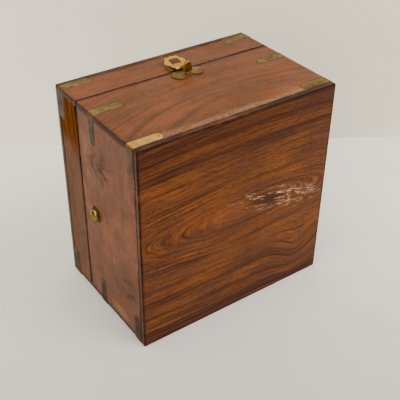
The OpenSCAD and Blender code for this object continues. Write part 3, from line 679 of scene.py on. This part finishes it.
def corner_path(leg, side_leg, count):
    """Path of a strap around the top left corner of the case, from the tip on the hasp side to the
    tip on the wall: points in X and Z, outward normals, and the distance to the nearer tip."""
    r = CORNER_R
    bend = r * np.pi / 2
    total = (leg - r) + bend + (side_leg - r)
    way = total * (1 - np.cos(np.linspace(0, np.pi, count))) / 2
    turn = np.clip((way - (leg - r)) / r, 0, np.pi / 2)
    out = np.stack([-np.sin(turn), np.cos(turn)], -1)
    centre = np.array([-HALF_W + r, CASE_H - r])
    ahead = np.maximum(leg - r - way, 0)
    down = np.maximum(way - (leg - r) - bend, 0)
    points = centre + r * out + np.stack([ahead, -down], -1)
    return points, out, np.minimum(way, total - way)


def strap_solid(y, half, leg, side_leg, proud, ease, seed, mirror_x, mirror_z):
    """Strip around a corner with round tips. Across it the surface drops near the outline by
    ease(1 - sqrt(1 - (1 - d/ease)^2)), d being the distance to the outline, which rounds the edge."""
    points, out, to_tip = corner_path(leg, side_leg, STRAP_ROWS)
    to_tip = np.maximum(to_tip, 1e-4)
    cut = np.clip(half - to_tip, 0, None)
    width = np.sqrt(np.maximum(half ** 2 - cut ** 2, 0))
    across = np.array([-1, -0.97, -0.93, -0.87, -0.75, -0.4, 0, 0.4, 0.75, 0.87, 0.93, 0.97, 1])
    sideways = width[:, None] * across
    inside = half - np.hypot(cut[:, None], sideways)
    drop = ease * (1 - np.sqrt(1 - np.clip(1 - inside / ease, 0, 1) ** 2))
    height = proud - drop
    sideways = np.concatenate([width[:, None] * [-1.0], sideways, width[:, None] * [1.0]], 1)
    foot = np.full((len(width), 1), -STRAP_SUNK)
    height = np.concatenate([foot, height, foot], 1)
    place = points[:, None] + out[:, None] * height[..., None]
    rings = np.stack([place[..., 0], y + sideways, place[..., 1]], -1)
    rough = wobble(rings, 6, seed)
    rings[..., 1] += 0.12 * wobble(rings, 9, seed + 1) * np.sign(sideways)
    top = (height > 0)[..., None]
    rings += top * 0.035 * rough[..., None] * np.stack([out[:, 0], 0 * out[:, 0], out[:, 1]], -1)[:, None]
    if mirror_x:
        rings[..., 0] *= -1
    if mirror_z:
        rings[..., 2] = CASE_H - rings[..., 2]
    return closed(rings)


def strap_pin_solids(y, leg, side_leg, mirror_x, mirror_z):
    """The two pin heads of a strap, filed nearly flat."""
    spots = [((-HALF_W + leg - PIN_FROM_TIP, y, CASE_H + STRAP_PROUD), (0, 0, 1)),
             ((-HALF_W - STRAP_PROUD, y, CASE_H - side_leg + PIN_FROM_TIP), (-1, 0, 0))]
    dome = [(0, -SHANK), (PIN_R, -SHANK)]
    dome += [(PIN_R * math.cos(a), PIN_RISE * math.sin(a)) for a in np.linspace(0, 1.57, 6)]
    flip = np.array([-1 if mirror_x else 1, 1, -1 if mirror_z else 1])
    solids = []
    for place, axis in spots:
        place = np.array(place)
        place = np.array([place[0] * flip[0], place[1], CASE_H - place[2] if mirror_z else place[2]])
        solids.append(lathe(dome, place, np.array(axis) * flip, 20))
    return solids


straps = [(f"base_strap_{level}_{side}_{place}", "base", side, level)
          for side in ("left", "right") for level in ("top", "bottom") for place in ("outer", "inner")]
straps += [(f"lid_strap_{level}_{side}", "lid", side, level)
           for side in ("left", "right") for level in ("top", "bottom")]
pins = {"base": [], "lid": []}
wax_shadow_lines = {"base": [], "lid": []}
for number, (node, body, side, level) in enumerate(straps):
    low, high = corners(node)
    size = high - low
    strap_y, half = (low[1] + high[1]) / 2, size[1] / 2
    flips = (side == "right", level == "bottom")
    solid = strap_solid(strap_y, half, size[0], size[2], STRAP_PROUD, STRAP_EASE, 20 + number, *flips)
    # the strap at the top left outer corner gets the brighter copy
    finish = gold_strap if node == "base_strap_top_left_outer" else strap_brass
    piece(node + "_sheet", [solid], finish, body, [node])
    # a near-black line round each strap: packed wax, and painted shadow along its edges
    wax_shadow_lines[body].append(strap_solid(strap_y, half + WAX_SHADOW_SPREAD, size[0] + WAX_SHADOW_SPREAD, size[2] + WAX_SHADOW_SPREAD,
                                       WAX_SHADOW_PROUD, WAX_SHADOW_EASE, 60 + number, *flips))
    pins[body] += strap_pin_solids(strap_y, size[0], size[2], *flips)
for body in ("base", "lid"):
    piece(f"{body}_strap_pin_heads", pins[body], strap_brass, body, [f"{body}_strap_pins"])
    # packed wax and painted shadow round the straps, one object for each body
    piece(f"{body}_strap_wax_and_painted_shadow", wax_shadow_lines[body], wax_shadow_finish, body)


# ---------------------------------------------------------------- pivot studs

for side, sign in (("left", -1), ("right", 1)):
    ring_low, ring_high = corners(f"{side}_rosette")
    stud_low, stud_high = corners(f"{side}_pivot_stud")
    centre_y, centre_z = (ring_low[1:] + ring_high[1:]) / 2
    radius = (ring_high[1] - ring_low[1]) / 2
    thick = ring_high[0] - ring_low[0]
    foot = np.array([sign * HALF_W, centre_y, centre_z])
    outside = max(abs(stud_low[0]), abs(stud_high[0])) - HALF_W
    head = (stud_high[1] - stud_low[1]) / 2
    collar = [(0, -0.5), (radius - 0.3, -0.5), (radius - 0.1, 0.15), (radius - 0.5, 0.5 * thick),
              (radius - 1.0, 0.85 * thick), (radius - 1.5, thick), (head + 0.1, thick),
              (head - 0.1, 0.75 * thick), (head - 0.4, 0.7 * thick), (0, 0.7 * thick)]
    piece(f"{side}_stud_collar", [lathe(collar, foot, (sign, 0, 0), 64)], strap_brass, "base",
          [f"{side}_rosette"], sharp=50)
    rise = outside - thick
    dome = [(head * math.cos(a), thick + rise * math.sin(a) ** 0.9) for a in np.linspace(0.02, np.pi / 2, 14)]
    # the pin that carries the gimbal ring, then the thicker part that goes through the wall
    shank = [(0, -WALL_T - 9), (1.7, -WALL_T - 9), (2.0, -WALL_T - 8.6), (2.0, -WALL_T - 3),
             (3, -WALL_T - 3), (3, 0.3 * thick), (head, thick * 0.6)]
    stud = lathe(shank + dome[:-1] + [(0, outside)], foot, (sign, 0, 0), 64)
    piece(f"{side}_stud_turned", [stud], stud_brass, "base", [f"{side}_pivot_stud"], sharp=50)


# ---------------------------------------------------------------- hasp

NAIL_R, NAIL_HEAD_R, NAIL_RISE = 0.7, 1.25, 0.45
# plate and leaf are drawn this much deeper, so that they meet the wood
BEDDED = 0.1


def nail_solids(spots, low):
    """Round-headed nails at points (x, y) with their heads' undersides at height low."""
    dome = [(0, low - SHANK), (NAIL_R, low - SHANK), (NAIL_R, low)]
    dome += [(NAIL_HEAD_R * math.cos(a), low + NAIL_RISE * math.sin(a)) for a in np.linspace(0, np.pi / 2, 7)]
    return [lathe(dome, (x, y, 0), (0, 0, 1), 24) for x, y in spots]


plate_low, plate_high = corners("latch_plate")
hasp_x, button_y = (plate_low[:2] + plate_high[:2]) / 2
lobe_r = (plate_high[1] - plate_low[1]) / 2
lobe_x = (plate_high[0] - plate_low[0]) / 2 - lobe_r
plate_z, plate_top = plate_low[2], plate_high[2]
lobes = ray_outline((0, 0), [(lobe_x, 0, lobe_r), (-lobe_x, 0, lobe_r)],
                    [(-lobe_x, -0.62 * lobe_r, lobe_x, 0.62 * lobe_r)], 144)
plate_place = Matrix.Translation((hasp_x, button_y, 0))


def lobe_rim(x, y):
    """Lobes stamped with a shallow dish: the plate rises by 0.3 mm times the cube of the distance from
    a lobe's middle in lobe radii, but stays flat where the turn button stands."""
    reach = np.minimum(np.hypot(x - lobe_x, y), np.hypot(x + lobe_x, y)) / lobe_r
    return 0.3 * np.clip(reach, 0, 1) ** 3 * (np.abs(x) > 2)


LATCH_TOP = plate_top - 0.15
piece("latch_plate_stamped", [plate(lobes, plate_z - BEDDED, LATCH_TOP, 0.3, plate_place, bow=lobe_rim)],
      strap_brass, "base", ["latch_plate"])
nail_high = corners("latch_plate_nails")[1]
nail_x = nail_high[0] - hasp_x - NAIL_HEAD_R
latch_nails = nail_solids([(hasp_x - nail_x, button_y), (hasp_x + nail_x, button_y)], LATCH_TOP)
piece("latch_plate_nail_heads", latch_nails, strap_brass, "base", ["latch_plate_nails"])

wing_low, wing_high = corners("turn_button")
wing_half = (wing_high[0] - wing_low[0]) / 2
wing_t = wing_high[1] - wing_low[1]
wing_foot, wing_top = plate_top + 0.2, wing_high[2]
TIP_R, BEND_R, SHOULDER, NECK_R = 2.2, 0.8, 1.3, 1.2
tip = arc((0, wing_top - TIP_R), TIP_R, 12, 168, 24)
left_bend = arc((BEND_R - wing_half, wing_foot + SHOULDER + BEND_R), BEND_R, 168, 270, 10)
wing = np.concatenate([tip, line(tip[-1], left_bend[0], 6), left_bend, [(-NECK_R, wing_foot + SHOULDER)],
                       [(-NECK_R, wing_foot), (NECK_R, wing_foot), (NECK_R, wing_foot + SHOULDER)],
                       left_bend[::-1] * (-1, 1), line(left_bend[0] * (-1, 1), tip[0], 6)])
wing_place = Matrix.Translation((hasp_x, button_y, 0)) @ Matrix.Rotation(math.radians(90), 4, "X")
# the rivet that the wing turns on: a shank in the wood, and a collar where it meets the plate
rivet = [(0, CASE_H - SHANK), (NECK_R, CASE_H - SHANK), (NECK_R, wing_foot - 0.2), (2.0, wing_foot - 0.15),
         (1.9, wing_foot + 0.3), (1.3, wing_foot + 0.7), (0.9, wing_foot + 1.1), (0, wing_foot + 1.2)]
wing_solids = [plate(wing, -wing_t / 2, wing_t / 2, 0.25, wing_place),
               lathe(rivet, (hasp_x, button_y, 0), (0, 0, 1))]
piece("turn_button_cast", wing_solids, wing_brass, "button", ["turn_button"])

AXIS = joint_axis("flap_hinge")
leaf_low, leaf_high = corners("hasp_leaf")
leaf_w, leaf_y1 = leaf_high[0] - leaf_low[0], leaf_high[1]
KNUCKLE_R = 1.3
# the leaf has a notch on each side of its middle knuckle, where the flap's knuckles turn
leaf_y0 = AXIS[1] + KNUCKLE_R + 0.25
leaf_outline = rounded_box((-leaf_w / 2, leaf_y0), (leaf_w / 2, leaf_y1), 2.0, 1.5)(0)
tongue = rounded_box((-1.7, AXIS[1] + 0.3), (1.7, leaf_y0 + 1), 0.2, 1)(0)
leaf_place = Matrix.Translation((hasp_x, 0, 0))
LEAF_TOP = plate_top - 0.2
leaf_solids = [plate(leaf_outline, plate_z - BEDDED, LEAF_TOP, 0.3, leaf_place),
               plate(tongue, plate_z - BEDDED, plate_top - 0.22, 0.2, leaf_place)]


def knuckle(x, length, r):
    """Rolled barrel on the flap's hinge axis, along X and centred at x, with eased ends."""
    return lathe(eased_disc(r, -length / 2, length / 2, 0.2), (x, AXIS[1], AXIS[2]), (1, 0, 0), 32)


leaf_solids.append(knuckle(hasp_x, 3.4, KNUCKLE_R))
piece("hasp_leaf_sheet", leaf_solids, strap_brass, "lid", ["hasp_leaf"])
LEAF_NAIL_IN = 2.6
leaf_nails = [(hasp_x + sx * (leaf_w / 2 - LEAF_NAIL_IN), leaf_y1 - LEAF_NAIL_IN) for sx in (-1, 1)]
piece("hasp_leaf_nail_heads", nail_solids(leaf_nails, LEAF_TOP), strap_brass, "lid",
      ["hasp_leaf_nails"])
pin_low, pin_high = corners("hasp_pin")
pin_length = pin_high[0] - pin_low[0]
PIN_WIRE_R = 0.6
pin_wire = knuckle(hasp_x, pin_length + 0.5, PIN_WIRE_R)
piece("hasp_pin_wire", [pin_wire], strap_brass, "lid", ["hasp_pin"])

# the flap's rest above the lid in degrees, and the place and length of its two knuckles
FLAP_ANGLE = 11
FLAP_KNUCKLE_X, FLAP_KNUCKLE_L = 3.25, 2.8
FLAP_T = plate_high[2] - plate_low[2]
wing_reach = math.hypot(AXIS[1] - button_y + wing_t / 2 + 0.35, wing_top - AXIS[2]) + 0.1
flap_l = wing_reach + 2.7
slot_near, slot_half = AXIS[1] - button_y - 2, wing_half + 0.525
flap_shapes = [(4, 3.9, 1.9), (5, 7.9, 2.9), (3.4, flap_l - 2.7, 2.3)]
circles = [(sign * x, y, r) for x, y, r in flap_shapes for sign in (-1, 1)] + [(0, flap_l - 2.6, 2.6)]
flap_outline = ray_outline((0, 6.5), circles, [(-4.65, 1.2, 4.65, flap_l - 2)], 192)
slot_outline = ray_outline((0, 6.5), [], [(-slot_half, slot_near, slot_half, wing_reach)], 192)
flap_turn = Matrix.Rotation(math.radians(FLAP_ANGLE), 4, "X")
flap_place = Matrix.Translation((hasp_x, AXIS[1], AXIS[2])) @ flap_turn


def flap_bow(x, y):
    """The thin flap has been bent by use: it droops towards the lid by 0.004 times the square of the
    distance past 3 mm from the hinge, and its sides by 0.008 times the square of x."""
    return -0.004 * np.clip(y - 3, 0, None) ** 2 - 0.008 * x ** 2 * np.clip(y / 6, 0, 1)


flap_solids = [plate(flap_outline, -FLAP_T / 2, FLAP_T / 2, 0.25, flap_place, hole=slot_outline, bow=flap_bow)]
flap_solids += [knuckle(hasp_x + sx * FLAP_KNUCKLE_X, FLAP_KNUCKLE_L, KNUCKLE_R) for sx in (-1, 1)]
for sx in (-1, 1):
    lug_x0, lug_x1 = sx * FLAP_KNUCKLE_X - FLAP_KNUCKLE_L / 2, sx * FLAP_KNUCKLE_X + FLAP_KNUCKLE_L / 2
    lug = rounded_box((lug_x0, 0.2), (lug_x1, 2.4), 0.1, 1)(0)
    flap_solids.append(plate(lug, -FLAP_T / 2 + 0.02, FLAP_T / 2 - 0.02, 0.1, flap_place))
piece("hasp_flap_sheet", flap_solids, bright_brass, "flap", ["hasp_flap"])


# ---------------------------------------------------------------- camera, floor and light

def set_camera(place, azimuth, elevation, roll, lens):
    """Camera at place in mm, looking azimuth degrees right of +Y and elevation degrees down, tipped
    by roll degrees, with a lens in mm for a sensor 36 mm wide."""
    az, el, ro = map(math.radians, (azimuth, elevation, roll))
    ahead = Vector((math.sin(az) * math.cos(el), math.cos(az) * math.cos(el), -math.sin(el)))
    right = ahead.cross(Vector((0, 0, 1))).normalized()
    up = right.cross(ahead)
    right, up = math.cos(ro) * right + math.sin(ro) * up, math.cos(ro) * up - math.sin(ro) * right
    data = bpy.data.cameras.new("camera")
    data.sensor_width = 36
    data.lens = lens
    camera = bpy.data.objects.new("camera", data)
    turn = Matrix((right, up, -ahead)).transposed().to_4x4()
    camera.matrix_world = Matrix.Translation(Vector(place) * MM) @ turn
    bpy.context.scene.collection.objects.link(camera)
    bpy.context.scene.camera = camera


def area_light(name, place, aim, size, watts, colour):
    """A rectangular soft light at place, aimed at aim, all in metres."""
    data = bpy.data.lights.new(name, "AREA")
    data.shape = "RECTANGLE"
    data.size, data.size_y = size
    data.energy = watts
    data.color = srgb(colour)[:3]
    light = bpy.data.objects.new(name, data)
    light.location = Vector(place)
    light.rotation_euler = (Vector(aim) - Vector(place)).to_track_quat("-Z", "Y").to_euler()
    bpy.context.scene.collection.objects.link(light)


# size of the stage sheets' mottling, in metres
MOTTLE = 1 / 14


def plain_sheet(name, low, high, tones, painted_shade, turn=None):
    """Flat stage sheet in the XY plane between two corners, in metres, mottled between two tones.
    The last argument, (direction, near, far, tone), is painted shade: the sheet turns to that darker
    tone where its distance along the direction goes from near to far, in metres, as a sheet does away
    from the window. A sheet that is turned upright as a wall shows only its front, so that it never
    stands in the way."""
    mesh = bpy.data.meshes.new(name)
    (x0, y0), (x1, y1) = low, high
    mesh.from_pydata([(x0, y0, 0), (x1, y0, 0), (x1, y1, 0), (x0, y1, 0)], [], [(0, 1, 2, 3)])
    material, tree, out = new_material(name)
    place = add(tree, "ShaderNodeTexCoord").outputs["Object"]
    mottle = patches(tree, place, (MOTTLE, MOTTLE, MOTTLE), detail=4.0)
    colour = tinted(tree, srgb(tones[0]), mottle, 0.3, 0.7, tones[1])
    direction, near, far, tone = painted_shade
    # painted shade: the colour turns to the darker tone along the direction
    along = add(tree, "ShaderNodeVectorMath", {0: place, 1: direction}, operation="DOT_PRODUCT")
    colour = tinted(tree, colour, along, near, far, tone)
    shader = add(tree, "ShaderNodeBsdfPrincipled", {"Base Color": colour, "Roughness": 0.6})
    if turn is not None:
        behind = add(tree, "ShaderNodeNewGeometry").outputs["Backfacing"]
        clear = add(tree, "ShaderNodeBsdfTransparent")
        shader = add(tree, "ShaderNodeMixShader", {0: behind, 1: shader, 2: clear})
    tree.links.new(shader.outputs[0], out.inputs[0])
    mesh.materials.append(material)
    sheet = bpy.data.objects.new(name, mesh)
    if turn is not None:
        sheet.matrix_world = turn
    bpy.context.scene.collection.objects.link(sheet)


set_camera((-256.6, -363.6, 377.6), 35.644, 35.367, 0.797, 68.56)
# the floor has painted shade, darker towards the camera's side
plain_sheet("floor", (-1.5, -1.5), (1.5, 1.5), ("#d0cfcb", "#d8d6d2"),
            ((-0.56, -0.83, 0), -0.1, 0.2, "#a09e9a"))
# the wall behind stands 105 mm from the case's back corner, square to the view
UPRIGHT = Matrix.Rotation(math.radians(-31.3), 4, "Z") @ Matrix.Rotation(math.radians(90), 4, "X")
WALL_TURN = Matrix.Translation((-0.0129, 0.2223, 0)) @ UPRIGHT
# the wall has painted shade, darker towards its right end
plain_sheet("wall", (-1.5, 0), (1.5, 1.6), ("#f2eee0", "#f7f3e7"),
            ((1, 0, 0), -0.2, 0.2, "#e2ddcd"), WALL_TURN)
area_light("window", (0.9, -1.3, 1.5), (0, 0, 0.08), (1.2, 1.0), 52, "#fff6ea")
area_light("overhead", (-0.5, -0.2, 1.6), (0, 0, 0.1), (1.6, 1.6), 44, "#fffaf2")
area_light("fill", (-1.6, -0.9, 0.9), (0, 0, 0.08), (1.2, 1.2), 22, "#fff6ec")
world = bpy.data.worlds.new("room")
world.use_nodes = True
# the room gives little light of its own, and the camera sees it paler than the light it gives
background = world.node_tree.nodes["Background"]
background.inputs[0].default_value = srgb("#e9e2d6")
seen = add(world.node_tree, "ShaderNodeLightPath").outputs["Is Camera Ray"]
strength = add(world.node_tree, "ShaderNodeMapRange", {0: seen, 3: 0.16, 4: 0.75})
world.node_tree.links.new(strength.outputs[0], background.inputs[1])
bpy.context.scene.world = world
